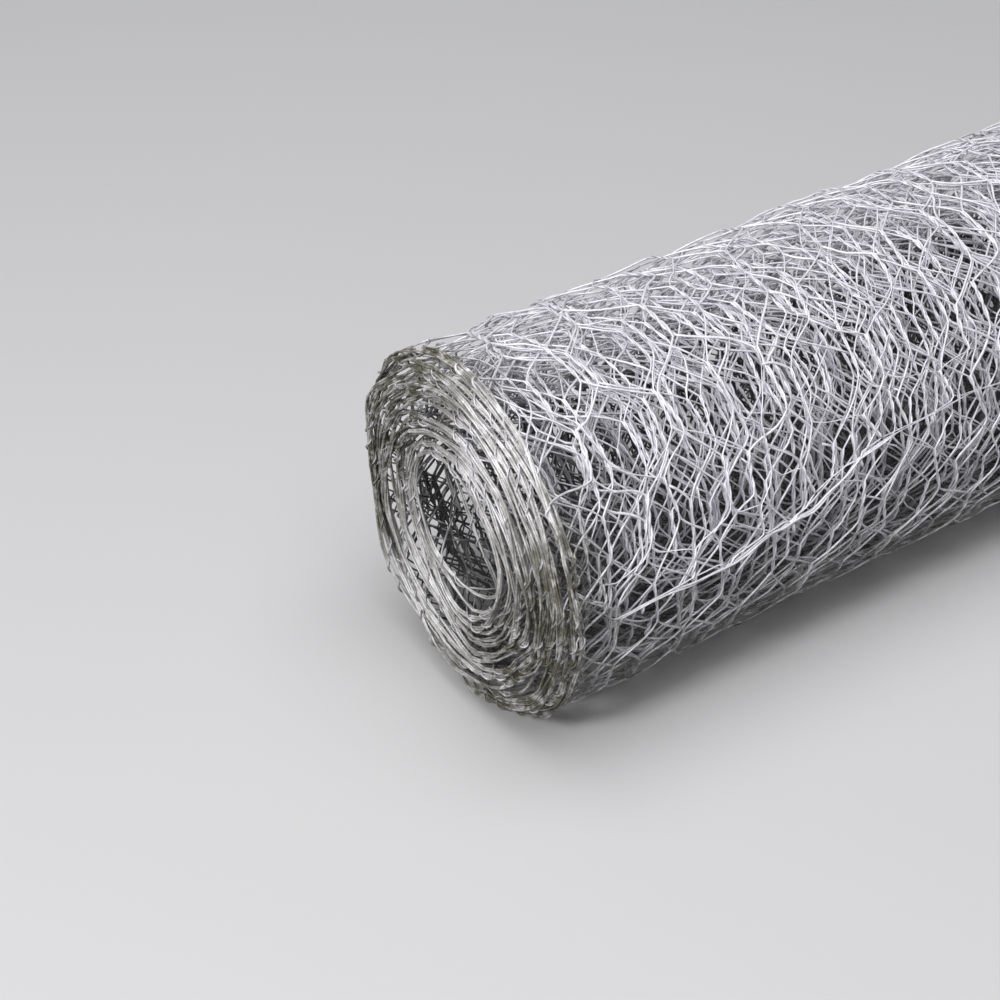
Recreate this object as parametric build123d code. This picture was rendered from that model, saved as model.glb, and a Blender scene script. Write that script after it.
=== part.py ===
"""A roll of twisted hexagonal wire netting, lying on its side along X.

The netting is one strip, wound on itself. Each of the outer turns was pushed a little past
the one inside it, so the near end (-X) stands out as a low dome and the far end (+X) is
dished. Millimetres. The origin is on the floor, under the middle of the roll.
"""
from build123d import *
import math
import os

# Driving dimensions
ROLL_DIAMETER = 170.0
BORE_DIAMETER = 56.0
NETTING_WIDTH = 600.0
TURNS = 26

# The turns lie closer together outwards: the first one takes this share more than the mean
# pitch, and the last one takes as much less
TIGHTENING = 0.5

# How far the outermost turn is pushed along the roll, and how many turns share the push
OUTER_TURN_PUSH = 10.0
PUSHED_TURNS = 12

# Hand winding leaves the turns a little uneven: one in and out over a few turns
WINDING_UNEVENNESS = 0.9
UNEVENNESS_STEP = math.radians(80.0)

# The selvage of a turn stands as a ridge, with an open groove before the next turn
GROOVE_DEPTH_IN_PITCHES = 0.85

ROLL_RADIUS = ROLL_DIAMETER / 2
BORE_RADIUS = BORE_DIAMETER / 2


def radius_after(turns):
    """The radius of the winding after some turns, counted from the bore."""
    share = turns / TURNS
    eased = share * (1 + TIGHTENING * (1 - share))
    return BORE_RADIUS + (ROLL_RADIUS - BORE_RADIUS) * eased


def turn_shift(turn):
    """How far along the roll a turn lies from a square winding; turn 0 is the innermost."""
    pushed_steps = max(0, turn + 1 + PUSHED_TURNS - TURNS)
    push = OUTER_TURN_PUSH * (pushed_steps / PUSHED_TURNS) ** 2
    return push + WINDING_UNEVENNESS * math.sin(turn * UNEVENNESS_STEP)


TURN_SHIFTS = [turn_shift(turn) for turn in range(TURNS)]
ROLL_LENGTH = NETTING_WIDTH + max(TURN_SHIFTS) - min(TURN_SHIFTS)
SQUARE_EDGE = -ROLL_LENGTH / 2 - min(TURN_SHIFTS)


def groove_point(step, edges, outward):
    """The bottom of the groove between two turns, below the one that stands out less.

    Step counts the grooves from the bore; the first and the last have a turn on one side only.
    """
    beside = edges[max(step - 1, 0):step + 1]
    pitch = radius_after(min(step + 0.5, TURNS)) - radius_after(max(step - 0.5, 0))
    lower_edge = min(beside, key=lambda edge: outward * edge)
    return lower_edge - outward * GROOVE_DEPTH_IN_PITCHES * pitch, radius_after(step)


def end_points(square_edge, outward):
    """One wound end as points (along the roll, radius), from the bore to the surface."""
    edges = [square_edge + shift for shift in TURN_SHIFTS]
    points = []
    for turn, edge in enumerate(edges):
        points.append(groove_point(turn, edges, outward))
        points.append((edge, radius_after(turn + 0.5)))
    points.append(groove_point(TURNS, edges, outward))
    return points


def wound_section():
    """Half the roll's lengthwise section: straight at bore and surface, ridged at both ends."""
    near_end = end_points(SQUARE_EDGE, outward=-1)
    far_end = end_points(SQUARE_EDGE + NETTING_WIDTH, outward=1)
    outline = Polyline(*near_end, *reversed(far_end), close=True)
    return make_face(outline)


def netting_roll():
    """The whole roll: the section turned about the roll's own axis, laid on the floor."""
    turned = revolve(wound_section(), axis=Axis.X)
    return Pos(0, 0, ROLL_RADIUS) * turned


os.makedirs("parts", exist_ok=True)
export_step(netting_roll(), "parts/netting_roll.step")
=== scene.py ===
"""A roll of galvanised hexagonal wire netting, lying on its side.

The netting is modelled flat, as it comes off the loom: one quarter of a twist with its leg
of wire is modelled, copied into a whole cell corner, and arrayed into rows. The flat
strip is then pulled a little out of shape and wound into the roll. Metres throughout.
"""
from __future__ import annotations

import logging
import math
from dataclasses import dataclass, field
from enum import Enum
from typing import Callable

import bmesh
import bpy
import numpy as np
from mathutils import Matrix, Vector


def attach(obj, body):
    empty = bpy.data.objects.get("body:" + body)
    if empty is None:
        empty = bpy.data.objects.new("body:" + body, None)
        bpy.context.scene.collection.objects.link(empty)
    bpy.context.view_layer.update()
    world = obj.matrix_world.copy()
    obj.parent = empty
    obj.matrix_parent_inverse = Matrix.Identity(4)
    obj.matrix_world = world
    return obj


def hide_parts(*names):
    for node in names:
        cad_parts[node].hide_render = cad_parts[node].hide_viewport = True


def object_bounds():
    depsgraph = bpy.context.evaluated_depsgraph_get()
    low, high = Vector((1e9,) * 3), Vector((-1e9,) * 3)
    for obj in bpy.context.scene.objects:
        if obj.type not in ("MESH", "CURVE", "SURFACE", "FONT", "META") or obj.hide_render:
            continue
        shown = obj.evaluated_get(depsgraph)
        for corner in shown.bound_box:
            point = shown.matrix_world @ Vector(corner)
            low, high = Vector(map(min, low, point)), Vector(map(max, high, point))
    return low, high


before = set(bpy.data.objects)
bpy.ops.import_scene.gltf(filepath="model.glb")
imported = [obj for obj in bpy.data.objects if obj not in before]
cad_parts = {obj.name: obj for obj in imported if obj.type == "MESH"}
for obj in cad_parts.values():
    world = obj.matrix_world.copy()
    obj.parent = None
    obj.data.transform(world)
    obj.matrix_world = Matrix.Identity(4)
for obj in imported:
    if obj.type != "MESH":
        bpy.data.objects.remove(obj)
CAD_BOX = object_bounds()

log = logging.getLogger("netting_roll")

NODE = "netting_roll"
BODY = "root"

# Vertices that are nearer to each other than this become one
WELD = 2e-6

# How far the rim of the near end lies behind the foremost point of the roll
RIM_STEP = 0.0115

Colour = tuple[float, float, float, float]
Triple = tuple[float, float, float]
Span = tuple[float, float]
Socket = bpy.types.NodeSocket

BLACK: Colour = (0.0, 0.0, 0.0, 1.0)
WHITE: Colour = (1.0, 1.0, 1.0, 1.0)


class Axis(Enum):
    """The directions of the flat strip: along it, across it, and out of it."""

    ALONG = "X"
    ACROSS = "Y"
    OUT = "Z"


class Bench:
    """The hand tools: selecting, turning, joining and finishing one piece at a time."""

    @staticmethod
    def object_mode() -> None:
        """Leaves edit mode if a piece is open in it."""
        if bpy.context.object and bpy.context.object.mode != "OBJECT":
            bpy.ops.object.mode_set(mode="OBJECT")

    @classmethod
    def clear(cls) -> None:
        """Leaves edit mode and deselects everything."""
        cls.object_mode()
        bpy.ops.object.select_all(action="DESELECT")

    @classmethod
    def pick(cls, *pieces: bpy.types.Object) -> bpy.types.Object:
        """Selects only these pieces and makes the first one active.

        Args:
            pieces: The pieces to select.

        Returns:
            The first piece.
        """
        cls.clear()
        for piece in pieces:
            piece.select_set(True)
        bpy.context.view_layer.objects.active = pieces[0]
        return pieces[0]

    @classmethod
    def open(cls, piece: bpy.types.Object) -> None:
        """Opens a piece in edit mode, with all its vertices selected.

        Args:
            piece: The piece to open.
        """
        cls.pick(piece)
        bpy.ops.object.mode_set(mode="EDIT")
        bpy.ops.mesh.select_mode(type="VERT")
        bpy.ops.mesh.select_all(action="SELECT")

    @staticmethod
    def select_where(piece: bpy.types.Object, test: Callable[[Vector], bool]) -> None:
        """Selects the vertices of the open piece whose place passes a test.

        Args:
            piece: The piece that is open in edit mode.
            test: Says of a vertex's place whether it is selected.
        """
        shape = bmesh.from_edit_mesh(piece.data)
        for vert in shape.verts:
            vert.select = test(vert.co)
        shape.select_flush(True)
        shape.select_flush(False)
        bmesh.update_edit_mesh(piece.data)

    @staticmethod
    def turn_selected(angle: float, axis: Axis, centre: Vector) -> None:
        """Turns what is selected right-handed about an axis through a point."""
        bpy.ops.transform.rotate(value=-angle, orient_axis=axis.value, center_override=centre)

    @staticmethod
    def weld() -> None:
        """Merges the doubled vertices of the open piece."""
        bpy.ops.mesh.select_all(action="SELECT")
        bpy.ops.mesh.remove_doubles(threshold=WELD)

    @classmethod
    def copy_turned(cls, piece: bpy.types.Object, axis: Axis) -> None:
        """Adds to a piece a copy of all of it, turned half way round an axis.

        Args:
            piece: The piece that gets the copy.
            axis: The axis, through the origin.
        """
        cls.open(piece)
        bpy.ops.mesh.duplicate()
        cls.turn_selected(math.pi, axis, Vector((0.0, 0.0, 0.0)))
        cls.weld()
        cls.object_mode()

    @classmethod
    def apply(cls, piece: bpy.types.Object, modifier: bpy.types.Modifier) -> None:
        """Applies one modifier to its piece."""
        cls.pick(piece)
        bpy.ops.object.modifier_apply(modifier=modifier.name)

    @classmethod
    def ring(cls, sides: int, radius: float, middle: Vector) -> bpy.types.Object:
        """Adds the outline of a wire's section, square to the X axis.

        Args:
            sides: Its sides.
            radius: How far its corners are from its middle.
            middle: Where its middle is.

        Returns:
            The outline, which isn't filled.
        """
        cls.clear()
        bpy.ops.mesh.primitive_circle_add(
            vertices=sides, radius=radius, fill_type="NOTHING", location=middle,
            rotation=(0.0, math.pi / 2, 0.0),
        )
        outline = bpy.context.object
        bpy.ops.object.transform_apply(location=True, rotation=True, scale=True)
        return outline

    @classmethod
    def screw(cls, outline: bpy.types.Object, angle: float, length: float, steps: int) -> None:
        """Draws an outline out along the X axis while it goes round that axis.

        Args:
            outline: The outline; it becomes the drawn shape.
            angle: How far round it goes.
            length: How far along it goes.
            steps: In how many steps.
        """
        drawing = outline.modifiers.new("drawing", "SCREW")
        drawing.axis = "X"
        drawing.angle = angle
        drawing.screw_offset = length
        drawing.steps = drawing.render_steps = steps
        cls.apply(outline, drawing)

    @classmethod
    def array(cls, piece: bpy.types.Object, count: int, step: Triple) -> None:
        """Repeats a piece in a straight row, welded where the copies meet.

        Args:
            piece: The piece to repeat.
            count: How many there are afterwards.
            step: The way from each copy to the next.
        """
        row = piece.modifiers.new("row", "ARRAY")
        row.count = count
        row.use_relative_offset = False
        row.use_constant_offset = True
        row.constant_offset_displace = step
        row.use_merge_vertices = True
        row.merge_threshold = WELD
        cls.apply(piece, row)

    @staticmethod
    def move(piece: bpy.types.Object, step: Triple) -> None:
        """Moves a piece's mesh."""
        piece.data.transform(Matrix.Translation(step))

    @staticmethod
    def turn(piece: bpy.types.Object, angle: float) -> None:
        """Turns a piece's mesh about the Z axis."""
        piece.data.transform(Matrix.Rotation(angle, 4, "Z"))

    @classmethod
    def copy(cls, piece: bpy.types.Object, step: Triple = (0.0, 0.0, 0.0)) -> bpy.types.Object:
        """Copies a piece, with its own mesh, and moves the copy's mesh.

        Args:
            piece: The piece to copy.
            step: How far the copy's mesh is moved.

        Returns:
            The copy.
        """
        twin = piece.copy()
        twin.data = piece.data.copy()
        bpy.context.scene.collection.objects.link(twin)
        cls.move(twin, step)
        return twin

    @classmethod
    def join(cls, *pieces: bpy.types.Object) -> bpy.types.Object:
        """Joins pieces into one and welds what meets.

        Args:
            pieces: The pieces to join.

        Returns:
            The joined piece.
        """
        whole = cls.pick(*pieces)
        bpy.ops.object.join()
        cls.open(whole)
        cls.weld()
        cls.object_mode()
        return whole

    @classmethod
    def finish(cls, piece: bpy.types.Object, name: str) -> bpy.types.Object:
        """Names a piece, caps its open wire ends, turns its faces outwards and smooths it.

        Args:
            piece: The piece.
            name: Its name.

        Returns:
            The same piece.
        """
        piece.name = piece.data.name = name
        cls.open(piece)
        bpy.ops.mesh.select_all(action="DESELECT")
        bpy.ops.mesh.select_non_manifold(extend=False)
        bpy.ops.mesh.fill_holes(sides=0)
        bpy.ops.mesh.select_all(action="SELECT")
        bpy.ops.mesh.normals_make_consistent(inside=False)
        cls.object_mode()
        bpy.ops.object.shade_smooth()
        return piece


@dataclass(frozen=True)
class Grade:
    """How finely a stretch of wire is modelled.

    Attributes:
        sides: Sides of the wire's section.
        twist_steps: Steps along half a twist.
        wrap_steps: Steps along half of a wire's way round the selvage.
        leg_steps: Steps along half a leg, after the first.
        roll: How far the section is turned about itself, so that no corner of one wire
            touches the wire that it is twisted with.
    """

    sides: int
    twist_steps: int
    wrap_steps: int
    leg_steps: int
    roll: float


FINE = Grade(sides=6, twist_steps=4, wrap_steps=8, leg_steps=2, roll=0.0)
PLAIN = Grade(sides=4, twist_steps=4, wrap_steps=6, leg_steps=1, roll=math.pi / 4)


@dataclass
class NettingPattern:
    """The flat netting: its cell, its rows and its two selvages.

    Along the strip is X, across it is Y, and the near selvage lies at Y = selvage_inset.

    Attributes:
        strip_width: The whole width of the strip.
        selvage_inset: How far the middle of a selvage lies inside the strip's edge.
        columns: How many meshes there are across the strip.
        wire: How thick the netting's wire is.
        selvage_wire: How thick each of a selvage's two wires is.
        twist_length: The length of a twist.
        row_pitch: From the middle of one row of twists to the next.
        half_turns: The half turns of a twist.
        wrap_half_turns: The half turns of a wire round the selvage.
        cut_stub: What is left of a twist where the strip was cut.
        leg_bow: How much of a leg's way sideways comes late, so that it bows.
        selvage_sides: The sides of a selvage wire's section.
        selvage_steps: The steps along one period of a selvage.
        end_steps: The steps along one lay of the wires at the free end.
    """

    strip_width: float = 0.600
    selvage_inset: float = 0.0022
    columns: int = 16
    wire: float = 0.00090
    selvage_wire: float = 0.0010
    twist_length: float = 0.0215
    row_pitch: float = 0.0385
    half_turns: int = 3
    wrap_half_turns: int = 4
    cut_stub: float = 0.0045
    leg_bow: float = 0.20
    selvage_sides: int = 6
    selvage_steps: int = 10
    end_steps: int = 20

    @property
    def far_selvage(self) -> float:
        """Where the middle of the far selvage is, across the strip."""
        return self.strip_width - self.selvage_inset

    @property
    def mesh_width(self) -> float:
        """Twist to twist across the strip."""
        return (self.strip_width - 2 * self.selvage_inset) / self.columns

    @property
    def period(self) -> float:
        """Along the strip, from a row to the next one in line with it."""
        return 2 * self.row_pitch

    @property
    def wrap_radius(self) -> float:
        """From the middle of the selvage to the middle of the wire wrapped round it."""
        return self.selvage_wire + self.wire / 2

    @property
    def twist_angle(self) -> float:
        """How far a strand goes round in half a twist."""
        return self.half_turns * math.pi / 2

    @property
    def in_plane(self) -> float:
        """How near to a plane a vertex has to be, to count as lying in it."""
        return self.wire / 20

    def leg_end(self) -> Vector:
        """Where a leg of a twist at the origin is half way to the next row's twist."""
        return Vector((self.period / 4, self.mesh_width / 4, 0.0))

    @staticmethod
    def corner_radius(wire: float, sides: int) -> float:
        """How far a wire's corners are from its middle, so that it looks as wide as a round one.

        Args:
            wire: The thickness of the round wire.
            sides: Sides of the section that stands for it.

        Returns:
            The distance.
        """
        return wire / 2 * (math.pi / sides) / math.sin(math.pi / sides)

    def coil(self, sides: int, steps: int, start: Vector, angle: float,
             roll: float) -> bpy.types.Object:
        """One strand wound round the X axis over half a twist.

        Args:
            sides: Sides of its section.
            steps: Steps along it.
            start: The middle of the strand's section, at X = 0.
            angle: How far round it goes.
            roll: How far its section is turned about itself.

        Returns:
            The strand, open at both ends.
        """
        strand = Bench.ring(sides, self.corner_radius(self.wire, sides), start)
        Bench.open(strand)
        Bench.turn_selected(roll, Axis.ALONG, start)
        Bench.object_mode()
        Bench.screw(strand, angle, self.twist_length / 2, steps)
        return strand

    def draw_leg(self, strand: bpy.types.Object, grade: Grade, start: Vector) -> None:
        """Draws the open end of a strand out into half a leg.

        Args:
            strand: The strand, whose end lies in the plane X = start.x.
            grade: How finely the wire is modelled.
            start: The middle of the strand's end.
        """
        run = self.leg_end().x - start.x
        rise = math.copysign(self.leg_end().y, start.y) - start.y
        count = grade.leg_steps + 1
        shares = [step / count for step in range(1, count + 1)]
        stops = [start + Vector((run * share, rise * self.bow(share), 0.0)) for share in shares]
        leans = [math.atan2(rise * self.bow_slope(share), run) for share in shares]
        Bench.open(strand)
        Bench.select_where(strand, lambda place: abs(place.x - start.x) < self.in_plane)
        here, lean = start, 0.0
        for stop, new_lean in zip(stops, leans):
            bpy.ops.mesh.extrude_region_move(TRANSFORM_OT_translate={"value": stop - here})
            Bench.turn_selected(new_lean - lean, Axis.OUT, stop)
            here, lean = stop, new_lean

    def bow(self, share: float) -> float:
        """How far a half leg has gone sideways after a share of its way along."""
        return share * (1.0 - self.leg_bow) + share * share * self.leg_bow

    def bow_slope(self, share: float) -> float:
        """How steeply it goes sideways there."""
        return 1.0 - self.leg_bow + 2.0 * share * self.leg_bow

    def twist(self, grade: Grade) -> bpy.types.Object:
        """Two wires twisted together, each with half a leg at both ends.

        Args:
            grade: How finely the wire is modelled.

        Returns:
            The twist, along X and centred on the origin.
        """
        first = Vector((0.0, 0.0, self.wire / 2))
        strand = self.coil(grade.sides, grade.twist_steps, first, self.twist_angle, grade.roll)
        end = Vector((self.twist_length / 2, self.wire / 2, 0.0))
        ends = [v.co.y for v in strand.data.vertices if abs(v.co.x - end.x) < self.in_plane]
        end.y = math.copysign(end.y, sum(ends))
        self.draw_leg(strand, grade, end)
        Bench.copy_turned(strand, Axis.ALONG)
        Bench.copy_turned(strand, Axis.OUT)
        return strand

    def selvage_wrap(self, grade: Grade) -> bpy.types.Object:
        """A wire that comes in from the netting, winds round the selvage and goes back.

        Args:
            grade: How finely the wire is modelled.

        Returns:
            The wire, centred on the origin, with the netting on its +Y side.
        """
        angle = self.wrap_half_turns * math.pi / 2
        first = Vector((0.0, self.wrap_radius * math.cos(angle), 0.0))
        roll = self.twist_angle + grade.roll
        strand = self.coil(grade.sides, grade.wrap_steps, first, angle, roll)
        self.draw_leg(strand, grade, Vector((self.twist_length / 2, self.wrap_radius, 0.0)))
        Bench.copy_turned(strand, Axis.ACROSS)
        return strand

    def laid_wires(self, steps: int) -> bpy.types.Object:
        """One period of two selvage wires, laid round each other.

        Args:
            steps: Steps along the period.

        Returns:
            The two wires, along X from the origin.
        """
        radius = self.corner_radius(self.selvage_wire, self.selvage_sides)
        middle = Vector((0.0, 0.0, self.selvage_wire / 2))
        wires = Bench.ring(self.selvage_sides, radius, middle)
        Bench.screw(wires, 2 * math.pi, self.period, steps)
        Bench.copy_turned(wires, Axis.ALONG)
        return wires

    @staticmethod
    def cut_off(piece: bpy.types.Object, at: float) -> None:
        """Cuts a piece across and keeps its +X side, with the cut closed.

        Args:
            piece: The piece to cut.
            at: Where along X it is cut.
        """
        Bench.open(piece)
        bpy.ops.mesh.bisect(
            plane_co=(at, 0.0, 0.0), plane_no=(1.0, 0.0, 0.0), use_fill=True, clear_inner=True
        )
        Bench.object_mode()

    def staggered_row(self, corner: bpy.types.Object, wrap: bpy.types.Object,
                      along: float) -> list[bpy.types.Object]:
        """A row whose outer wires go round the selvages.

        Args:
            corner: The twist that is repeated.
            wrap: The wire round the near selvage.
            along: Where the row is, along the strip.

        Returns:
            The row's pieces.
        """
        row = Bench.copy(corner, (along, self.selvage_inset + self.mesh_width, 0.0))
        Bench.array(row, self.columns - 1, (0.0, self.mesh_width, 0.0))
        far_wrap = Bench.copy(wrap)
        Bench.turn(far_wrap, math.pi)
        Bench.move(far_wrap, (along, self.far_selvage, 0.0))
        return [row, Bench.copy(wrap, (along, self.selvage_inset, 0.0)), far_wrap]

    def plain_row(self, corner: bpy.types.Object, along: float) -> bpy.types.Object:
        """A row of whole twists, one in each column.

        Args:
            corner: The twist that is repeated.
            along: Where the row is, along the strip.

        Returns:
            The row.
        """
        row = Bench.copy(corner, (along, self.selvage_inset + self.mesh_width / 2, 0.0))
        Bench.array(row, self.columns, (0.0, self.mesh_width, 0.0))
        return row

    def stretch(self, name: str, grade: Grade, first: int, count: int,
                cut_start: bool, cut_end: bool) -> bpy.types.Object:
        """A stretch of flat netting.

        Args:
            name: The name of the piece.
            grade: How finely the wire is modelled.
            first: The number of its first period, counted from the strip's inner end.
            count: How many periods it has.
            cut_start: Whether the strip begins here, in a row of cut twists.
            cut_end: Whether the strip ends here, in a whole row and a row of cut twists.

        Returns:
            The flat piece.
        """
        corner, wrap = self.twist(grade), self.selvage_wrap(grade)
        pair = Bench.join(self.plain_row(corner, 0.0),
                          *self.staggered_row(corner, wrap, self.row_pitch))
        Bench.array(pair, count, (self.period, 0.0, 0.0))
        start, end = first * self.period, (first + count) * self.period
        Bench.move(pair, (start, 0.0, 0.0))
        parts = [pair]
        if cut_end:
            parts.append(self.plain_row(corner, end))
        if cut_start or cut_end:
            self.cut_off(corner, self.twist_length / 2 - self.cut_stub)
            self.cut_off(wrap, 0.0)
        if cut_start:
            parts += self.staggered_row(corner, wrap, start - self.row_pitch)
        if cut_end:
            last_row = self.staggered_row(corner, wrap, 0.0)
            for part in last_row:
                Bench.turn(part, math.pi)
                Bench.move(part, (end + self.row_pitch, self.strip_width, 0.0))
            parts += last_row
        for part in (corner, wrap):
            bpy.data.objects.remove(part)
        return Bench.finish(Bench.join(*parts), name)

    def selvage(self, name: str, across: float, periods: int) -> bpy.types.Object:
        """The two straight wires of one selvage, as long as the strip.

        Args:
            name: The name of the piece.
            across: Where the selvage is, across the strip.
            periods: How many periods of netting the strip has.

        Returns:
            The flat piece.
        """
        wires = self.laid_wires(self.selvage_steps)
        Bench.array(wires, periods + 1, (self.period, 0.0, 0.0))
        Bench.move(wires, (-self.period / 2, across, 0.0))
        return Bench.finish(wires, name)

    def end_wires(self, name: str, along: float) -> bpy.types.Object:
        """The cut wires of the free end, laid round each other across the strip.

        Args:
            name: The name of the piece.
            along: Where they are, along the strip.

        Returns:
            The flat piece.
        """
        wires = self.laid_wires(self.end_steps)
        lays = round(self.strip_width / self.period)
        Bench.array(wires, lays, (self.period, 0.0, 0.0))
        reach = self.strip_width - 2 * self.selvage_inset
        wires.data.transform(Matrix.Scale(reach / (lays * self.period), 4, (1.0, 0.0, 0.0)))
        Bench.turn(wires, math.pi / 2)
        Bench.move(wires, (along, self.selvage_inset, 0.0))
        return Bench.finish(wires, name)


@dataclass(frozen=True)
class Ripple:
    """A smooth random unevenness, the same each time.

    Attributes:
        seed: Picks the unevenness.
        height: Its usual size.
        shortest: The shortest wave in it.
        longest: The longest wave in it.
        waves: How many waves are added up.
    """

    seed: int
    height: float
    shortest: float
    longest: float
    waves: int = 14

    def at(self, *places: np.ndarray) -> np.ndarray:
        """The unevenness at points.

        Args:
            places: One array for each of the points' coordinates.

        Returns:
            One value for each point.
        """
        rng = np.random.default_rng(self.seed)
        lengths = np.exp(rng.uniform(math.log(self.shortest), math.log(self.longest), self.waves))
        headings = rng.normal(size=(self.waves, len(places)))
        headings /= np.linalg.norm(headings, axis=1, keepdims=True)
        starts = rng.uniform(0.0, 2 * math.pi, self.waves)
        total = np.zeros_like(places[0])
        for length, heading, start in zip(lengths, headings, starts):
            way = sum(part * place for part, place in zip(heading, places))
            total += np.sin(2 * math.pi / length * way + start)
        return total * self.height * math.sqrt(2.0 / self.waves)


def ease(value: np.ndarray) -> np.ndarray:
    """Goes smoothly from 0 to 1 while the value does."""
    value = np.clip(value, 0.0, 1.0)
    return value * value * (3.0 - 2.0 * value)


def near(distance: np.ndarray, reach: float) -> np.ndarray:
    """Goes smoothly from 1 where the distance is 0 to 0 where it is the reach."""
    return ease(1.0 - distance / reach)


@dataclass(frozen=True)
class Gap:
    """A place where a group of turns has sprung away from the turns inside it.

    Attributes:
        angle: Where its middle is, in degrees from +Y towards +Z.
        reach: How far it goes to each side, in degrees.
        depth: How wide it opens.
        turn: The turn outside it, counted from the innermost.
        closing: Over how many turns it opens fully.
    """

    angle: float
    reach: float
    depth: float
    turn: float
    closing: float = 0.35


@dataclass
class Laid:
    """Where points of the strip are, in the flat strip and in the winding.

    Attributes:
        along: How far along the flat strip.
        across: How far across it.
        out: How far out of its surface.
        from_edge: How far from its nearer edge.
        to_end: How far from its free end, once the last rows are pressed together.
        share: After what share of the whole winding.
        turn: On which turn, counted from the inner end.
        place: Where round the roll, in radians from +Y towards +Z.
    """

    along: np.ndarray
    across: np.ndarray
    out: np.ndarray
    from_edge: np.ndarray
    to_end: np.ndarray
    share: np.ndarray
    turn: np.ndarray
    place: np.ndarray


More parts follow.
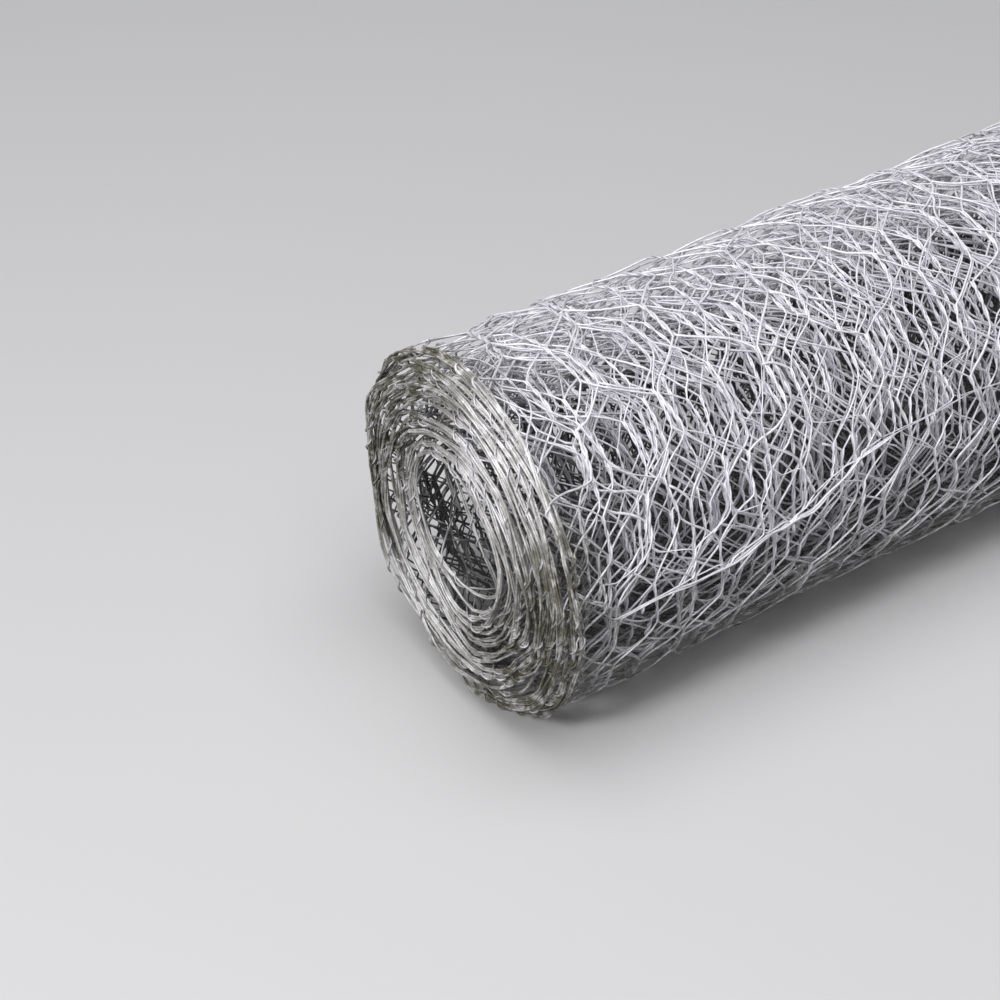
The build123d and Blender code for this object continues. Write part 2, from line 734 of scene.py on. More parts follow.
@dataclass
class Winding:
    """How the flat strip lies in the roll. Angles are in degrees from +Y towards +Z.

    Attributes:
        pattern: The netting that is wound.
        periods: How many periods of it.
        roll_radius: The radius that the roll keeps inside.
        near_end: Where the roll's near end is.
        first_radius: The radius of the winding at its inner end.
        last_radius: The radius at its outer end.
        tightening: How much faster the radius grows at first than in an even winding.
        free_end_angle: Where the free end lies.
        push: How far the outermost turn is pushed along the roll.
        pushed_turns: How many turns share the push.
        uneven: How far each turn is in or out of line.
        uneven_angle: From one turn to the next in the wave of that unevenness.
        squash: How far the turns are out of round, less and less outwards.
        squash_angle: The way in which they are widest.
        lean: How far the bore lies off the middle.
        lean_angle: The way in which it lies off, and in which it is longest.
        oval: How far the bore is drawn out of round.
        leaning_turns: How many turns share both.
        fading: The power by which a lean or a gap fades from turn to turn.
        flattened: The width of the fallen first turn, as a share of a round one's.
        shortened: How much shorter it is than a round one the long way, as a share.
        flattened_turns: How much of the first turn has fallen flat.
        flattened_over: Over how many turns it becomes round again.
        slumped: How far it has slumped to one side.
        slid_in: How far it has slid into the bore.
        slant: How far the near end slants, at the roll's surface.
        slant_angle: Where it stands out most.
        slant_reach: How far along the roll the slant fades out.
        slid_out: How far the free end has slid out of the near end.
        slid_out_reach: From how far before the free end.
        last_leg_share: The share of the last row of legs that is left once it is pressed up.
        second_twist_share: The share that is left of the twists before it.
        second_leg_share: The share that is left of the legs before those.
        end_room: How far a square winding begins behind the near end.
        floor_room: How high the lowest wire lies.
        surface_room: How far the strip's own surface stays inside the roll's radius.
        wire_room: How far every wire stays inside it.
        lift: How far the free end stands off the roll.
        lift_allowed: How far it may go past the roll's radius.
        lift_reach: From how far before the free end.
        skew_reach: How far before the free end the strip begins to run askew.
        held_share: The share of the netting's sway that a selvage lets through.
        held_reach: From how far inside a selvage the netting sways freely along the strip.
        loose_reach: From how far inside a selvage it sways freely across the strip.
        droop_reach: How far from an edge its droop reaches.
        bunched_share: The share of the bunching that is left away from the edges.
        bunched_reach: How far from an edge the bunching fades to it.
        bunching_grain: How much faster the bunching changes from turn to turn than in place.
        gaps: The gaps between turns.
        free_end_places: Places across the strip, along its free end.
        free_end_angles: Where round the roll the free end lies at each of them.
        sway_along: Waves of the netting along the strip.
        sway_across: Waves of it across the strip.
        shared_sway: Waves along the roll that turns lying on one another share.
        crimp_along: Small bends of the wires along the strip.
        crimp_across: Small bends of them across it.
        crimp_out: Small bends of them out of it.
        swell: Waves of the netting out of the strip.
        shared_swell: Waves out of it that turns lying on one another share.
        edge_wander: How each edge wanders along the roll.
        edge_droop: How each edge stands out or sinks in.
        bunching: How turns bunch together.
    """

    pattern: NettingPattern
    periods: int
    roll_radius: float
    near_end: float
    first_radius: float = 0.0268
    last_radius: float = 0.0831
    tightening: float = 0.50
    free_end_angle: float = 165.0
    push: float = 0.0100
    pushed_turns: float = 12.0
    uneven: float = 0.0009
    uneven_angle: float = 80.0
    squash: float = 0.0012
    squash_angle: float = 70.0
    lean: float = 0.0040
    lean_angle: float = 48.0
    oval: float = 0.0045
    leaning_turns: float = 13.0
    fading: float = 1.5
    flattened: float = 0.30
    shortened: float = 0.12
    flattened_turns: float = 0.72
    flattened_over: float = 0.36
    slumped: float = 0.0030
    slid_in: float = 0.0095
    slant: float = 0.0040
    slant_angle: float = 150.0
    slant_reach: float = 0.25
    slid_out: float = 0.0060
    slid_out_reach: float = 0.20
    last_leg_share: float = 0.06
    second_twist_share: float = 0.60
    second_leg_share: float = 0.30
    end_room: float = 0.0015
    floor_room: float = 0.0002
    surface_room: float = 0.0012
    wire_room: float = 0.0003
    lift: float = 0.0026
    lift_allowed: float = 0.0013
    lift_reach: float = 0.030
    skew_reach: float = 0.55
    held_share: float = 0.25
    held_reach: float = 0.03
    loose_reach: float = 0.04
    droop_reach: float = 0.025
    bunched_share: float = 0.25
    bunched_reach: float = 0.06
    bunching_grain: float = 6.0
    gaps: tuple[Gap, ...] = (
        Gap(angle=70.0, reach=64.0, depth=0.0048, turn=13.1),
        Gap(angle=218.0, reach=38.0, depth=0.0042, turn=18.3),
        Gap(angle=140.0, reach=45.0, depth=0.0022, turn=7.4),
        Gap(angle=300.0, reach=50.0, depth=0.0020, turn=10.6),
    )
    free_end_places: tuple[float, ...] = (
        0.0, 0.026, 0.082, 0.124, 0.152, 0.215, 0.34, 0.47, 0.60
    )
    free_end_angles: tuple[float, ...] = (
        168.5, 182.0, 178.0, 173.0, 163.5, 160.5, 168.0, 164.0, 170.0
    )
    sway_along: Ripple = Ripple(seed=11, height=0.0034, shortest=0.070, longest=0.200)
    sway_across: Ripple = Ripple(seed=12, height=0.0062, shortest=0.120, longest=0.500)
    shared_sway: Ripple = Ripple(seed=18, height=0.0014, shortest=0.060, longest=0.160)
    crimp_along: Ripple = Ripple(seed=13, height=0.00042, shortest=0.015, longest=0.045, waves=20)
    crimp_across: Ripple = Ripple(seed=14, height=0.00042, shortest=0.015, longest=0.045, waves=20)
    crimp_out: Ripple = Ripple(seed=16, height=0.00035, shortest=0.016, longest=0.045, waves=20)
    swell: Ripple = Ripple(seed=15, height=0.00035, shortest=0.060, longest=0.220)
    shared_swell: Ripple = Ripple(seed=19, height=0.0005, shortest=0.080, longest=0.250)
    edge_wander: Ripple = Ripple(seed=17, height=0.0011, shortest=0.04, longest=0.25)
    edge_droop: Ripple = Ripple(seed=20, height=0.0008, shortest=0.03, longest=0.12)
    bunching: Ripple = Ripple(seed=23, height=0.0009, shortest=0.045, longest=0.090)

    @property
    def start(self) -> float:
        """The place along the flat strip where it begins."""
        return -self.pattern.row_pitch + self.pattern.twist_length / 2 - self.pattern.cut_stub

    @property
    def length(self) -> float:
        """The length of the strip."""
        return self.periods * self.pattern.period - 2 * self.start

    @property
    def rise(self) -> float:
        """How much the radius grows from the inner end to the outer."""
        return self.last_radius - self.first_radius

    @property
    def whole_angle(self) -> float:
        """How far round the strip is wound, in radians."""
        mean = self.first_radius + self.rise * (0.5 + self.tightening / 6)
        return self.length / mean

    def radius_at(self, share: np.ndarray) -> np.ndarray:
        """The radius after a share of the whole angle; it grows more slowly outwards."""
        return self.first_radius + self.rise * share * (1.0 + self.tightening * (1.0 - share))

    def share_at(self, along: np.ndarray) -> np.ndarray:
        """What share of the whole angle is wound at a place along the strip.

        Args:
            along: The places along the strip.

        Returns:
            The shares, from 0 at the inner end to a little over 1 past the outer.
        """
        past_end, samples = 1.05, 6301
        shares = np.linspace(0.0, past_end, samples)
        climbed = (1.0 + self.tightening) * shares ** 2 / 2 - self.tightening * shares ** 3 / 3
        wound = self.whole_angle * (self.first_radius * shares + self.rise * climbed)
        return np.interp(along - self.start, wound, shares)

    def pressed_up(self, to_end: np.ndarray) -> np.ndarray:
        """Presses the legs of the last two rows together, until they lie nearly across.

        Args:
            to_end: Distances from the free end.

        Returns:
            What is left of them.
        """
        stub, twist = self.pattern.cut_stub, self.pattern.twist_length
        leg = self.pattern.row_pitch - twist
        steps = np.array([2 * stub, leg, twist, leg, 2 * self.length])
        shares = np.array([1.0, self.last_leg_share, self.second_twist_share,
                           self.second_leg_share, 1.0])
        stops = np.concatenate([[-stub], np.cumsum(steps) - stub])
        pressed = np.concatenate([[-stub], np.cumsum(steps * shares) - stub])
        return np.interp(to_end, stops, pressed)

    def gap_shift(self, turn: np.ndarray, degrees: np.ndarray) -> np.ndarray:
        """How far the turns inside the gaps are pressed towards the middle.

        Args:
            turn: Which turn each point is on.
            degrees: Where round the roll it is.

        Returns:
            The change of radius of each point, zero or less.
        """
        total = np.zeros_like(turn)
        for gap in self.gaps:
            off = (degrees - gap.angle + 180.0) % 360.0 - 180.0
            opening = gap.depth * near(np.abs(off), gap.reach)
            inside = np.clip(turn / gap.turn, 0.0, 1.0) ** self.fading
            share = np.where(turn < gap.turn, inside, 0.0)
            closing = ease((turn - gap.turn + gap.closing) / gap.closing)
            total -= opening * (share * (1.0 - closing))
        return total

    def wind(self, piece: bpy.types.Object) -> None:
        """Pulls a flat piece out of shape a little and winds it into its place in the roll.

        Args:
            piece: A flat piece of the strip; its mesh is changed.
        """
        mesh = piece.data
        flat = np.empty(len(mesh.vertices) * 3)
        mesh.vertices.foreach_get("co", flat)
        mesh.vertices.foreach_set("co", self.placed(flat.reshape(-1, 3)).ravel())
        mesh.update()

    def placed(self, flat: np.ndarray) -> np.ndarray:
        """Where points of the flat strip lie in the roll.

        Args:
            flat: Their places along, across and out of the strip.

        Returns:
            Their places in the roll.
        """
        at = self.laid(flat)
        radius = self.loose_radius(at)
        side, up = radius * np.cos(at.place), radius * np.sin(at.place)
        radius = self.settled_radius(at, radius, side, up)
        x = self.near_end + self.end_room + at.across + self.shift(at, radius)
        swayed = self.crimp_across.at(at.along, at.across)
        swayed += self.shared_sway.at(at.across, side, up)
        x += swayed * self.held(at.from_edge)
        x += self.sway_across.at(at.along, at.across) * ease(at.from_edge / self.loose_reach)
        y, z = self.flatten_start(at, radius)
        z = np.maximum(z + self.roll_radius, self.floor_room)
        return np.stack([x, y, z], axis=1)

    def held(self, from_edge: np.ndarray) -> np.ndarray:
        """How freely the netting sways: little beside a selvage, fully away from it."""
        return self.held_share + (1.0 - self.held_share) * ease(from_edge / self.held_reach)

    def laid(self, flat: np.ndarray) -> Laid:
        """Pulls the strip out of shape lengthwise and finds where it comes in the winding.

        Args:
            flat: Places along, across and out of the strip.

        Returns:
            Where they are.
        """
        along, across, out = flat.T
        from_edge = np.minimum(across, self.pattern.strip_width - across)
        held = self.held(from_edge)
        end = self.start + self.length
        moved = along + self.sway_along.at(along, across) * held
        moved += self.crimp_along.at(along, across) * held
        to_end = self.pressed_up(end - moved)
        askew = np.interp(across, self.free_end_places, self.free_end_angles) - self.free_end_angle
        moved = end - to_end
        moved += np.radians(askew) * self.last_radius * near(to_end, self.skew_reach)
        share = self.share_at(np.maximum(moved, self.start))
        angle = share * self.whole_angle
        place = math.radians(self.free_end_angle) + angle - self.whole_angle
        return Laid(along, across, out, from_edge, to_end, share, angle / (2 * math.pi), place)

    def loose_radius(self, at: Laid) -> np.ndarray:
        """The radius of each point in a winding that is out of round, but not yet uneven.

        Args:
            at: Where the points are.

        Returns:
            Their radii.
        """
        turns = self.whole_angle / (2 * math.pi)
        radius = self.radius_at(at.share) + self.gap_shift(at.turn, np.degrees(at.place))
        widest = np.cos(2 * (at.place - math.radians(self.squash_angle)))
        radius += self.squash * widest * np.clip(1.0 - at.turn / turns, 0.0, 1.0)
        leaning = np.clip(1.0 - at.turn / self.leaning_turns, 0.0, 1.0) ** self.fading
        from_lean = at.place - math.radians(self.lean_angle)
        radius += (self.lean * np.cos(from_lean) + self.oval * np.cos(2 * from_lean)) * leaning
        radius += self.swell.at(at.along, at.across) + self.crimp_out.at(at.along, at.across)
        return radius

    def settled_radius(self, at: Laid, radius: np.ndarray, side: np.ndarray,
                       up: np.ndarray) -> np.ndarray:
        """The radius once turns that lie on one another have settled, kept inside the roll.

        Args:
            at: Where the points are.
            radius: Their radii until then.
            side: Their places across the roll until then.
            up: Their places up it until then.

        Returns:
            The new radii, with how far each point is out of the strip's surface.
        """
        settled = radius + self.shared_swell.at(at.across, side, up)
        droop = self.edge_droop.at(at.along, np.zeros_like(at.along))
        settled += droop * near(at.from_edge, self.droop_reach)
        bunched = self.bunching.at(self.bunching_grain * self.radius_at(at.share), side, up)
        at_edge = (1.0 - self.bunched_share) * near(at.from_edge, self.bunched_reach)
        settled += bunched * (self.bunched_share + at_edge)
        near_free_end = near(at.to_end, self.lift_reach)
        settled += self.lift * near_free_end
        most = self.roll_radius + self.lift_allowed * near_free_end
        settled = np.minimum(settled, most - self.surface_room) + at.out
        return np.minimum(settled, most - self.wire_room)

    def shift(self, at: Laid, radius: np.ndarray) -> np.ndarray:
        """How far points are moved along the roll from a square winding.

        Args:
            at: Where the points are.
            radius: Their radii.

        Returns:
            How far each is moved.
        """
        turns = self.whole_angle / (2 * math.pi)
        pushed = np.clip(at.turn + self.pushed_turns - turns, 0.0, None) / self.pushed_turns
        shift = self.push * pushed ** 2
        shift += self.uneven * np.sin(at.turn * math.radians(self.uneven_angle))
        shift -= self.slid_out * near(at.to_end, self.slid_out_reach)
        shift += self.slid_in * self.fallen(at.turn)
        slanting = np.cos(at.place - math.radians(self.slant_angle)) * radius / self.roll_radius
        shift -= self.slant * slanting * near(at.across, self.slant_reach)
        shift += self.edge_wander.at(at.along, np.zeros_like(at.along))
        return shift

    def fallen(self, turn: np.ndarray) -> np.ndarray:
        """How far the first turn has fallen flat: 1 where it has, 0 where the roll is round."""
        return near(turn - self.flattened_turns, self.flattened_over)

    def flatten_start(self, at: Laid, radius: np.ndarray) -> tuple[np.ndarray, np.ndarray]:
        """Lets the first turn fall flat inside the bore; the other turns stay round.

        Args:
            at: Where the points are.
            radius: Their radii while the turn is round.

        Returns:
            The places across the roll and up it, from the roll's middle.
        """
        from_lean = at.place - math.radians(self.lean_angle)
        fallen = self.fallen(at.turn)
        squash = 1.0 - (1.0 - self.flattened) * fallen
        middle = radius - at.out
        long_way = middle * np.cos(from_lean) * (1.0 - self.shortened * fallen)
        short_way = middle * np.sin(from_lean) * squash - self.slumped * fallen
        facing = np.stack([squash * np.cos(from_lean), np.sin(from_lean)])
        facing /= np.linalg.norm(facing, axis=0)
        long_way, short_way = long_way + at.out * facing[0], short_way + at.out * facing[1]
        cos, sin = math.cos(math.radians(self.lean_angle)), math.sin(math.radians(self.lean_angle))
        return long_way * cos - short_way * sin, long_way * sin + short_way * cos


class NodeDesk:
    """Adds shader nodes to one material or world and links them."""

    def __init__(self, owner: bpy.types.Material | bpy.types.World) -> None:
        """Starts with no nodes.

        Args:
            owner: The material or world that the nodes are for.
        """
        owner.use_nodes = True
        self.owner = owner
        self.tree = owner.node_tree
        self.tree.nodes.clear()

    def feed(self, entry: Socket, value: object) -> None:
        """Links a socket to an input, or sets the input to a value.

        Args:
            entry: The input.
            value: The other node's socket, or the value.
        """
        if isinstance(value, bpy.types.NodeSocket):
            self.tree.links.new(value, entry)
        else:
            entry.default_value = value

    def add(self, kind: str, *values: object, **settings: object) -> bpy.types.Node:
        """Adds a node.

        Args:
            kind: The node's type, without ShaderNode.
            values: What its first inputs get, in their order.
            settings: Values of its own, or what its inputs get, by their names with _ for a space.

        Returns:
            The node.
        """
        node = self.tree.nodes.new("ShaderNode" + kind)
        for name, value in settings.items():
            if hasattr(node, name):
                setattr(node, name, value)
            else:
                self.feed(node.inputs[name.replace("_", " ")], value)
        for entry, value in zip(node.inputs, values):
            self.feed(entry, value)
        return node

    def math(self, operation: str, *values: Socket | float) -> Socket:
        """Works out a number from others."""
        return self.add("Math", *values, operation=operation).outputs["Value"]

    def span(self, value: Socket, ends: Span, least: float = 0.0, most: float = 1.0) -> Socket:
        """Goes from the least to the most while a value goes from one end to the other.

        Args:
            value: The value.
            ends: The two ends; the first may be the higher.
            least: What it gives at the first end and before.
            most: What it gives at the second end and past it.

        Returns:
            The result.
        """
        node = self.add("MapRange", clamp=True, Value=value, From_Min=ends[0], From_Max=ends[1],
                        To_Min=least, To_Max=most)
        return node.outputs["Result"]

    def noise(self, place: Socket, scale: float, detail: float, roughness: float = 0.5) -> Socket:
        """Cloudy noise.

        Args:
            place: Where it is read.
            scale: How fine it is.
            detail: How many finer layers it has.
            roughness: How strong those are.

        Returns:
            Its value.
        """
        node = self.add("TexNoise", Vector=place, Scale=scale, Detail=detail, Roughness=roughness)
        return node.outputs["Fac"]

    def ramp(self, value: Socket, *stops: tuple[float, Colour]) -> Socket:
        """Turns a value into a colour.

        Args:
            value: The value.
            stops: Places from 0 to 1 with their colours.

        Returns:
            The colour.
        """
        node = self.add("ValToRGB", Fac=value)
        band = node.color_ramp
        while len(band.elements) < len(stops):
            band.elements.new(0.5)
        for element, (place, colour) in zip(band.elements, stops):
            element.position = place
            element.color = colour
        return node.outputs["Color"]

    def mix(self, factor: Socket | float, first: object, second: object,
            blend: str = "MIX") -> Socket:
        """Mixes two colours.

        Args:
            factor: The share of the second.
            first: The first colour.
            second: The second colour.
            blend: How they are mixed.

        Returns:
            The mixed colour.
        """
        node = self.add("Mix", data_type="RGBA", blend_type=blend, Factor=factor, A=first, B=second)
        return node.outputs["Result"]


@dataclass(frozen=True)
class ZincFinish:
    """Weathered zinc on thin steel wire: patchy and slightly dusty, darker towards the bottom from
    dirty patches and painted shade, with painted shade on two sides of the ends and deep inside the
    roll.

    Spans that tell depths along the roll are counted inwards from its ends.

    Attributes:
        name: The material's name.
        dull: The colour of its dullest patches.
        middle: Its usual colour.
        bright: The colour of its brightest patches.
        grime_and_painted_shade: The colour of the dirty patches and painted shade towards the
            bottom, and of the painted shade on two sides of the ends.
        inner: The colour of the painted shade on the turns deep inside the roll and between the
            turns just inside an end.
        metallic: How metallic it is.
        smoothest: Its lowest roughness.
        roughest: Its highest roughness.
        rough_span: Between which values of the patches the roughness changes.
        patch_scale: How fine the patches are.
        patch_stops: Where in their noise the three colours lie.
        fleck: How dark the darkest crystals of the zinc are.
        fleck_scale: How fine the crystals are.
        fleck_share: How strongly they show.
        smear_scale: How fine the smears are that break up the dirty patches and the painted shade.
        smear_span: Between which values of their noise those patches and that painted shade begin
            and are full.
        grain_scale: How fine the grain of the surface is.
        grain_depth: How deep it is.
        grain_share: How strongly it shows.
        axis_height: How high the roll's axis lies.
        half_length: Half the roll's length.
        low_grime_and_shade: How dirty, and how dark with painted shade, the lowest wires are.
        low_span: Between which heights those dirty patches and that painted shade come in.
        end_painted_shade: How dark the painted shade on two sides of the ends is.
        end_span: Between which depths that painted shade goes out.
        shaded_side_angle: Where the sides with painted shade are, in degrees from +Y towards +Z.
        shaded_side_span: How far towards those sides the painted shade comes in.
        least_side_shade: The share of it that all sides have.
        deep_shade_side: Where the middle of the painted shade on the deep inner turns lies across
            the roll.
        deep_shade_height: How high it lies.
        deep_shade_span: Between which distances from it the painted shade comes in.
        deep_shade_depth: Between which depths it does.
        between_shade_share: How dark the painted shade is between the turns just inside an end.
        between_shade_span: Between which distances from the roll's axis that painted shade comes in.
        between_shade_start: Between which depths that painted shade begins.
        between_shade_stop: Between which depths it has ended and is full.
    """

    name: str
    dull: Colour = (0.69, 0.685, 0.73, 1.0)
    middle: Colour = (0.81, 0.80, 0.85, 1.0)
    bright: Colour = (0.83, 0.82, 0.87, 1.0)
    # Colours of the dirty patches with painted shade, and of the painted shade deep inside the roll.
    grime_and_painted_shade: Colour = (0.115, 0.110, 0.075, 1.0)
    inner: Colour = (0.090, 0.088, 0.090, 1.0)
    metallic: float = 0.25
    smoothest: float = 0.42
    roughest: float = 0.72
    rough_span: Span = (0.35, 0.70)
    patch_scale: float = 55.0
    patch_stops: Triple = (0.30, 0.50, 0.68)
    fleck: float = 0.62
    fleck_scale: float = 420.0
    fleck_share: float = 0.7
    smear_scale: float = 120.0
    smear_span: Span = (0.36, 0.56)
    grain_scale: float = 1900.0
    grain_depth: float = 0.0002
    grain_share: float = 0.25
    axis_height: float = 0.085
    half_length: float = 0.300
    # Spans of the painted shade: with dirty patches on the lowest wires, alone on two sides of the
    # ends, deep inside the roll and between the turns just inside an end.
    low_grime_and_shade: float = 0.90
    low_span: Span = (0.098, 0.020)
    end_painted_shade: float = 1.0
    end_span: Span = (0.032, 0.006)
    shaded_side_angle: float = 28.0
    shaded_side_span: Span = (0.014, 0.050)
    least_side_shade: float = 0.10
    deep_shade_side: float = 0.008
    deep_shade_height: float = 0.062
    deep_shade_span: Span = (0.070, 0.052)
    deep_shade_depth: Span = (0.001, 0.014)
    between_shade_share: float = 0.70
    between_shade_span: Span = (0.070, 0.060)
    between_shade_start: Span = (0.005, 0.018)
    between_shade_stop: Span = (0.070, 0.035)

    def make(self) -> bpy.types.Material:
        """Builds the material.

        Returns:
            The material.
        """
        desk = NodeDesk(bpy.data.materials.new(self.name))
        place = desk.add("TexCoord").outputs["Object"]
        parts = desk.add("SeparateXYZ", Vector=place).outputs
        patches = desk.noise(place, self.patch_scale, detail=5.0, roughness=0.62)
        # Dirty patches and painted shade towards the bottom, painted shade on two sides of the ends,
        # then painted shade deep inside and between the turns.
        dirtied_and_shaded = desk.mix(self.dirt_and_painted_shade(desk, place, parts), self.zinc(desk, place, patches), self.grime_and_painted_shade)
        shaded = desk.mix(self.painted_deep_shade(desk, parts), dirtied_and_shaded, self.inner)
        roughness = desk.span(patches, self.rough_span, self.roughest, self.smoothest)
        grain = desk.noise(place, self.grain_scale, detail=3.0)
        bump = desk.add("Bump", Strength=self.grain_share, Distance=self.grain_depth, Height=grain)
        shader = desk.add("BsdfPrincipled", Metallic=self.metallic, Base_Color=shaded,
                          Roughness=roughness, Normal=bump.outputs["Normal"])
        desk.add("OutputMaterial", Surface=shader.outputs["BSDF"])
        return desk.owner

    def zinc(self, desk: NodeDesk, place: Socket, patches: Socket) -> Socket:
        """The colour of the clean zinc, in patches and crystals.

        Args:
            desk: The material's desk.
            place: The point's place.
            patches: The noise of the patches.

        Returns:
            The colour.
        """
        tone = desk.ramp(patches, *zip(self.patch_stops, (self.dull, self.middle, self.bright)))
        crystals = desk.add("TexVoronoi", Vector=place, Scale=self.fleck_scale).outputs["Color"]
        darkest = (self.fleck, self.fleck, self.fleck, 1.0)
        flecks = desk.ramp(crystals, (0.0, darkest), (1.0, WHITE))
        return desk.mix(self.fleck_share, tone, flecks, "MULTIPLY")

    def dirt_and_painted_shade(self, desk: NodeDesk, place: Socket, parts: bpy.types.NodeOutputs) -> Socket:
        """How dark a point is made: dirty and in painted shade on the lowest wires, in painted shade
        on two sides of the ends.

        Args:
            desk: The material's desk.
            place: The point's place.
            parts: Its coordinates one by one.

        Returns:
            The amount, from 0 to 1.
        """
        # Dirty patches and painted shade towards the bottom; painted shade on two sides of the ends.
        low = desk.span(parts["Z"], self.low_span, most=self.low_grime_and_shade)
        at_end = self.inside_end(desk, parts, self.end_span, self.end_painted_shade)
        shaded_end = desk.math("MULTIPLY", at_end, self.painted_side_shade(desk, parts))
        smear = desk.noise(place, self.smear_scale, detail=6.0, roughness=0.7)
        begin, full = self.smear_span
        smeared = desk.ramp(smear, (begin, BLACK), (full, WHITE))
        return desk.math("MULTIPLY", desk.math("MAXIMUM", low, shaded_end), smeared)

    def inside_end(self, desk: NodeDesk, parts: bpy.types.NodeOutputs, depths: Span,
                   most: float = 1.0) -> Socket:
        """Goes up between two depths inside the nearer end of the roll.

        Args:
            desk: The material's desk.
            parts: The point's coordinates one by one.
            depths: The two depths.
            most: What it gives at the second one.

        Returns:
            The result, from 0.
        """
        from_middle = desk.math("ABSOLUTE", parts["X"])
        start, stop = (self.half_length - depth for depth in depths)
        return desk.span(from_middle, (start, stop), most=most)

    @staticmethod
    def from_axis(desk: NodeDesk, parts: bpy.types.NodeOutputs, side: float,
                  height: float) -> Socket:
        """How far a point is from a straight line along the roll.

        Args:
            desk: The material's desk.
            parts: The point's coordinates one by one.
            side: Where the line is across the roll.
            height: How high it lies.

        Returns:
            The distance.
        """
        spoke = desk.add("CombineXYZ", Y=desk.math("SUBTRACT", parts["Y"], side),
                         Z=desk.math("SUBTRACT", parts["Z"], height))
        length = desk.add("VectorMath", spoke.outputs["Vector"], operation="LENGTH")
        return length.outputs["Value"]

    def painted_side_shade(self, desk: NodeDesk, parts: bpy.types.NodeOutputs) -> Socket:
        """How much painted shade an end gets round the roll: most towards two opposite sides.

        Args:
            desk: The material's desk.
            parts: The point's coordinates one by one.

        Returns:
            The amount, from a little on the lit sides to 1 on the shaded ones.
        """
        # Painted shade on two opposite sides of an end.
        angle = math.radians(self.shaded_side_angle)
        across = desk.math("MULTIPLY", parts["Y"], math.cos(angle))
        height = desk.math("SUBTRACT", parts["Z"], self.axis_height)
        lean = desk.math("MULTIPLY_ADD", height, math.sin(angle), across)
        return desk.span(desk.math("ABSOLUTE", lean), self.shaded_side_span, self.least_side_shade)

    def painted_deep_shade(self, desk: NodeDesk, parts: bpy.types.NodeOutputs) -> Socket:
        """How much painted shade a point gets for lying deep inside the roll or between the turns of
        an end.

        Args:
            desk: The material's desk.
            parts: The point's coordinates one by one.

        Returns:
            The amount, from 0 outside to 1 deep inside.
        """
        # Painted shade deep inside the roll and between the turns just inside an end.
        from_bore = self.from_axis(desk, parts, self.deep_shade_side, self.deep_shade_height)
        deep = desk.math("MULTIPLY", desk.span(from_bore, self.deep_shade_span),
                         self.inside_end(desk, parts, self.deep_shade_depth))
        radius = self.from_axis(desk, parts, 0.0, self.axis_height)
        band = desk.math("MULTIPLY", self.inside_end(desk, parts, self.between_shade_start),
                         self.inside_end(desk, parts, self.between_shade_stop))
        between = desk.span(radius, self.between_shade_span, most=self.between_shade_share)
        return desk.math("MAXIMUM", deep, desk.math("MULTIPLY", between, band))


@dataclass
class NettingRoll:
    """The whole roll: one strip of netting in several stretches, and its two selvages.

    Attributes:
        roll_radius: The roll's radius.
        near_end: Where its near end is.
        periods: How many periods of netting the strip has.
        fine_periods: How many of them, at its outer end, are modelled finely.
        end_wires_back: How far before the last stubs the wires of the free end lie.
        pattern: The netting.
    """

    roll_radius: float
    near_end: float
    periods: int = 129
    fine_periods: int = 20
    end_wires_back: float = 0.0005
    pattern: NettingPattern = field(default_factory=NettingPattern)

    @property
    def stretches(self) -> list[tuple[str, Grade, int]]:
        """The stretches of netting, from the inside out.

        Returns:
            The name, the grade and the length in periods of each.
        """
        plain, fine = self.periods - self.fine_periods, self.fine_periods
        quarter, half = plain // 4, fine // 2
        return [
            ("netting_first_turns", PLAIN, quarter),
            ("netting_inner_turns", PLAIN, quarter),
            ("netting_middle_turns", PLAIN, quarter),
            ("netting_outer_turns", PLAIN, plain - 3 * quarter),
            ("netting_skin_turns", FINE, half),
            ("netting_last_turns", FINE, fine - half),
        ]

    def lay(self, piece: bpy.types.Object, winding: Winding, finish: bpy.types.Material) -> None:
        """Winds a flat piece, gives it its finish and its place on the frame, and reports it.

        Args:
            piece: The flat piece.
            winding: How it lies in the roll.
            finish: Its finish.
        """
        winding.wind(piece)
        piece.data.materials.clear()
        piece.data.materials.append(finish)
        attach(piece, BODY)
        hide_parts(NODE)
        log.info("%s: %d faces", piece.name, len(piece.data.polygons))

    def build(self, mesh_finish: bpy.types.Material, selvage_finish: bpy.types.Material) -> None:
        """Models, winds and dresses every piece.

        Args:
            mesh_finish: The finish of the netting.
            selvage_finish: The finish of the selvage wires.
        """
        pattern = self.pattern
        winding = Winding(pattern, self.periods, self.roll_radius, self.near_end)
        first = 0
        for name, grade, count in self.stretches:
            is_last = first + count == self.periods
            piece = pattern.stretch(name, grade, first, count, first == 0, is_last)
            self.lay(piece, winding, mesh_finish)
            first += count
        for name, across in (("selvage_near", pattern.selvage_inset),
                             ("selvage_far", pattern.far_selvage)):
            self.lay(pattern.selvage(name, across, self.periods), winding, selvage_finish)
        free_end = winding.start + winding.length - pattern.cut_stub
        piece = pattern.end_wires("free_end_wires", free_end - self.end_wires_back)
        self.lay(piece, winding, mesh_finish)


@dataclass(frozen=True)
class Lamp:
    """A soft square lamp.

    Attributes:
        name: Its name.
        power: Its power in watts.
        size: The side of its square.
        offset: Where it hangs, from what it points at.
        colour: The colour of its light.
    """

    name: str
    power: float
    size: float
    offset: Triple
    colour: Triple

    def hang(self, aim: Vector) -> None:
        """Hangs the lamp.

        Args:
            aim: What it points at.
        """
        bpy.ops.object.light_add(type="AREA", location=aim + Vector(self.offset))
        lamp = bpy.context.object
        lamp.name = self.name
        lamp.data.energy = self.power
        lamp.data.size = self.size
        lamp.data.color = self.colour
        lamp.rotation_euler = (-Vector(self.offset)).to_track_quat("-Z", "Y").to_euler()


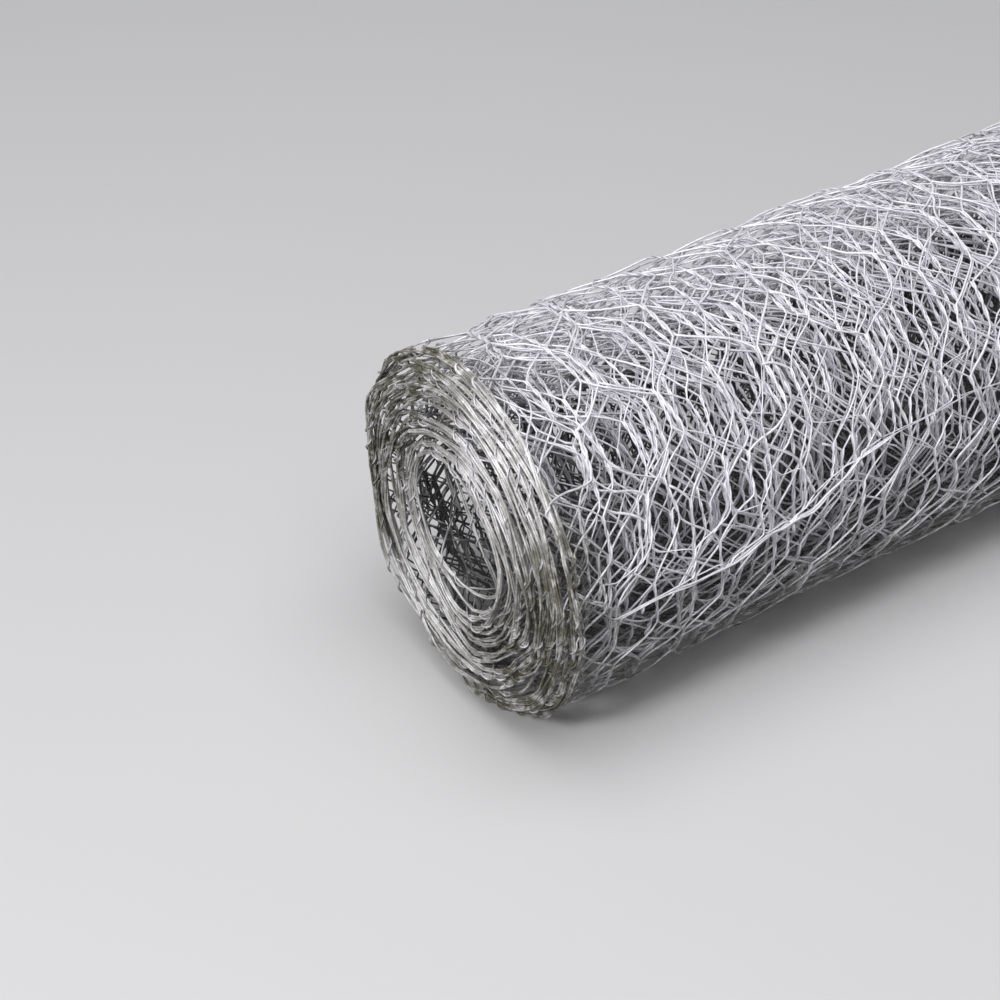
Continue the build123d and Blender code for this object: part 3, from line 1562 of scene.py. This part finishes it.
@dataclass
class Studio:
    """A pale floor, soft light, and a camera that looks the way the photo does.

    Attributes:
        roll_radius: The roll's radius.
        rim: Where the rim of the roll's near end is.
        floor_size: The side of the square floor.
        floor_colour: The floor's colour as the camera sees it.
        floor_mottle: How dark its darkest clouds are, as a share of that colour.
        floor_bounce: The floor's colour for the light that it throws back.
        room_colour: The colour of the light from all round.
        room_strength: How strong that light is.
        lens: The camera's focal length in millimetres.
        sensor: The width of its sensor in millimetres.
        camera_in_radii: Where it stands from the axis at the rim, in radii of the roll.
        camera_heading: Which way it looks, in degrees from +X towards +Y.
        camera_down: How far down it looks, in degrees.
        lamps: The lamps.
    """

    roll_radius: float
    rim: float
    floor_size: float = 14.0
    floor_colour: Colour = (0.56, 0.56, 0.56, 1.0)
    floor_mottle: float = 0.985
    floor_bounce: Colour = (0.12, 0.12, 0.12, 1.0)
    room_colour: Colour = (0.93, 0.95, 1.0, 1.0)
    room_strength: float = 0.07
    lens: float = 100.7
    sensor: float = 36.0
    camera_in_radii: Triple = (-6.503, -9.2505, 9.290)
    camera_heading: float = 54.215
    camera_down: float = 35.559
    lamps: tuple[Lamp, ...] = (
        Lamp("key", power=20.0, size=0.35, offset=(-1.50, -0.55, 1.20), colour=(1.0, 0.99, 1.0)),
        Lamp("sky", power=68.0, size=2.6, offset=(-0.4, -0.4, 2.4), colour=(0.98, 0.98, 1.0)),
    )

    def floor(self) -> None:
        """Lays the floor."""
        Bench.clear()
        bpy.ops.mesh.primitive_plane_add(size=self.floor_size)
        floor = bpy.context.object
        floor.name = "floor"
        desk = NodeDesk(bpy.data.materials.new("pale_floor"))
        place = desk.add("TexCoord").outputs["Object"]
        darker = tuple(self.floor_mottle * part for part in self.floor_colour[:3]) + (1.0,)
        clouds = desk.noise(place, scale=3.0, detail=3.0)
        tone = desk.ramp(clouds, (0.3, darker), (0.7, self.floor_colour))
        path = desk.add("LightPath").outputs
        seen = desk.math("MAXIMUM", path["Is Camera Ray"], path["Is Glossy Ray"])
        colour = desk.mix(seen, self.floor_bounce, tone)
        shader = desk.add("BsdfPrincipled", Roughness=0.9, Base_Color=colour)
        desk.add("OutputMaterial", Surface=shader.outputs["BSDF"])
        floor.data.materials.append(desk.owner)

    def air(self) -> None:
        """Lights the room evenly, with a white background."""
        world = bpy.data.worlds.new("room")
        bpy.context.scene.world = world
        desk = NodeDesk(world)
        path = desk.add("LightPath").outputs
        soft = desk.add("Background", Color=self.room_colour, Strength=self.room_strength)
        white = desk.add("Background", Color=WHITE)
        seen = desk.math("MAXIMUM", path["Is Camera Ray"], path["Is Transmission Ray"])
        mirrored = desk.math("MAXIMUM", seen, path["Is Glossy Ray"])
        shade = desk.add("MixShader", mirrored, soft.outputs[0], white.outputs[0])
        desk.add("OutputWorld", Surface=shade.outputs[0])

    def camera(self) -> None:
        """Sets up the camera."""
        place = Vector(self.camera_in_radii) * self.roll_radius + Vector((self.rim, 0.0, 0.0))
        heading, down = math.radians(self.camera_heading), math.radians(self.camera_down)
        ahead = Vector((math.cos(heading) * math.cos(down), math.sin(heading) * math.cos(down),
                        -math.sin(down)))
        bpy.ops.object.camera_add(location=place)
        camera = bpy.context.object
        camera.rotation_euler = ahead.to_track_quat("-Z", "Y").to_euler()
        camera.data.sensor_width = self.sensor
        camera.data.lens = self.lens
        bpy.context.scene.camera = camera

    def set_up(self) -> None:
        """Sets up floor, lamps, room and camera."""
        self.floor()
        aim = Vector((self.rim / 2, 0.0, self.roll_radius))
        for lamp in self.lamps:
            lamp.hang(aim)
        self.air()
        self.camera()
        bpy.context.scene.view_settings.view_transform = "Standard"


def main() -> None:
    """Builds the roll from the inside out, then the studio round it."""
    logging.basicConfig(level=logging.INFO, format="%(name)s: %(message)s")
    low, high = CAD_BOX
    roll_radius = (high.z - low.z) / 2
    mesh_finish = ZincFinish("galvanised_wire").make()
    # The selvage wires are brighter and get less of the dirty patches and painted shade towards the
    # bottom.
    selvage_finish = ZincFinish(
        "galvanised_selvage", dull=(0.36, 0.355, 0.335, 1.0), middle=(0.86, 0.85, 0.84, 1.0),
        bright=(0.93, 0.92, 0.93, 1.0), low_grime_and_shade=0.25, fleck=0.42
    ).make()
    NettingRoll(roll_radius, low.x).build(mesh_finish, selvage_finish)
    Studio(roll_radius, low.x + RIM_STEP).set_up()


if __name__ == "__main__":
    main()
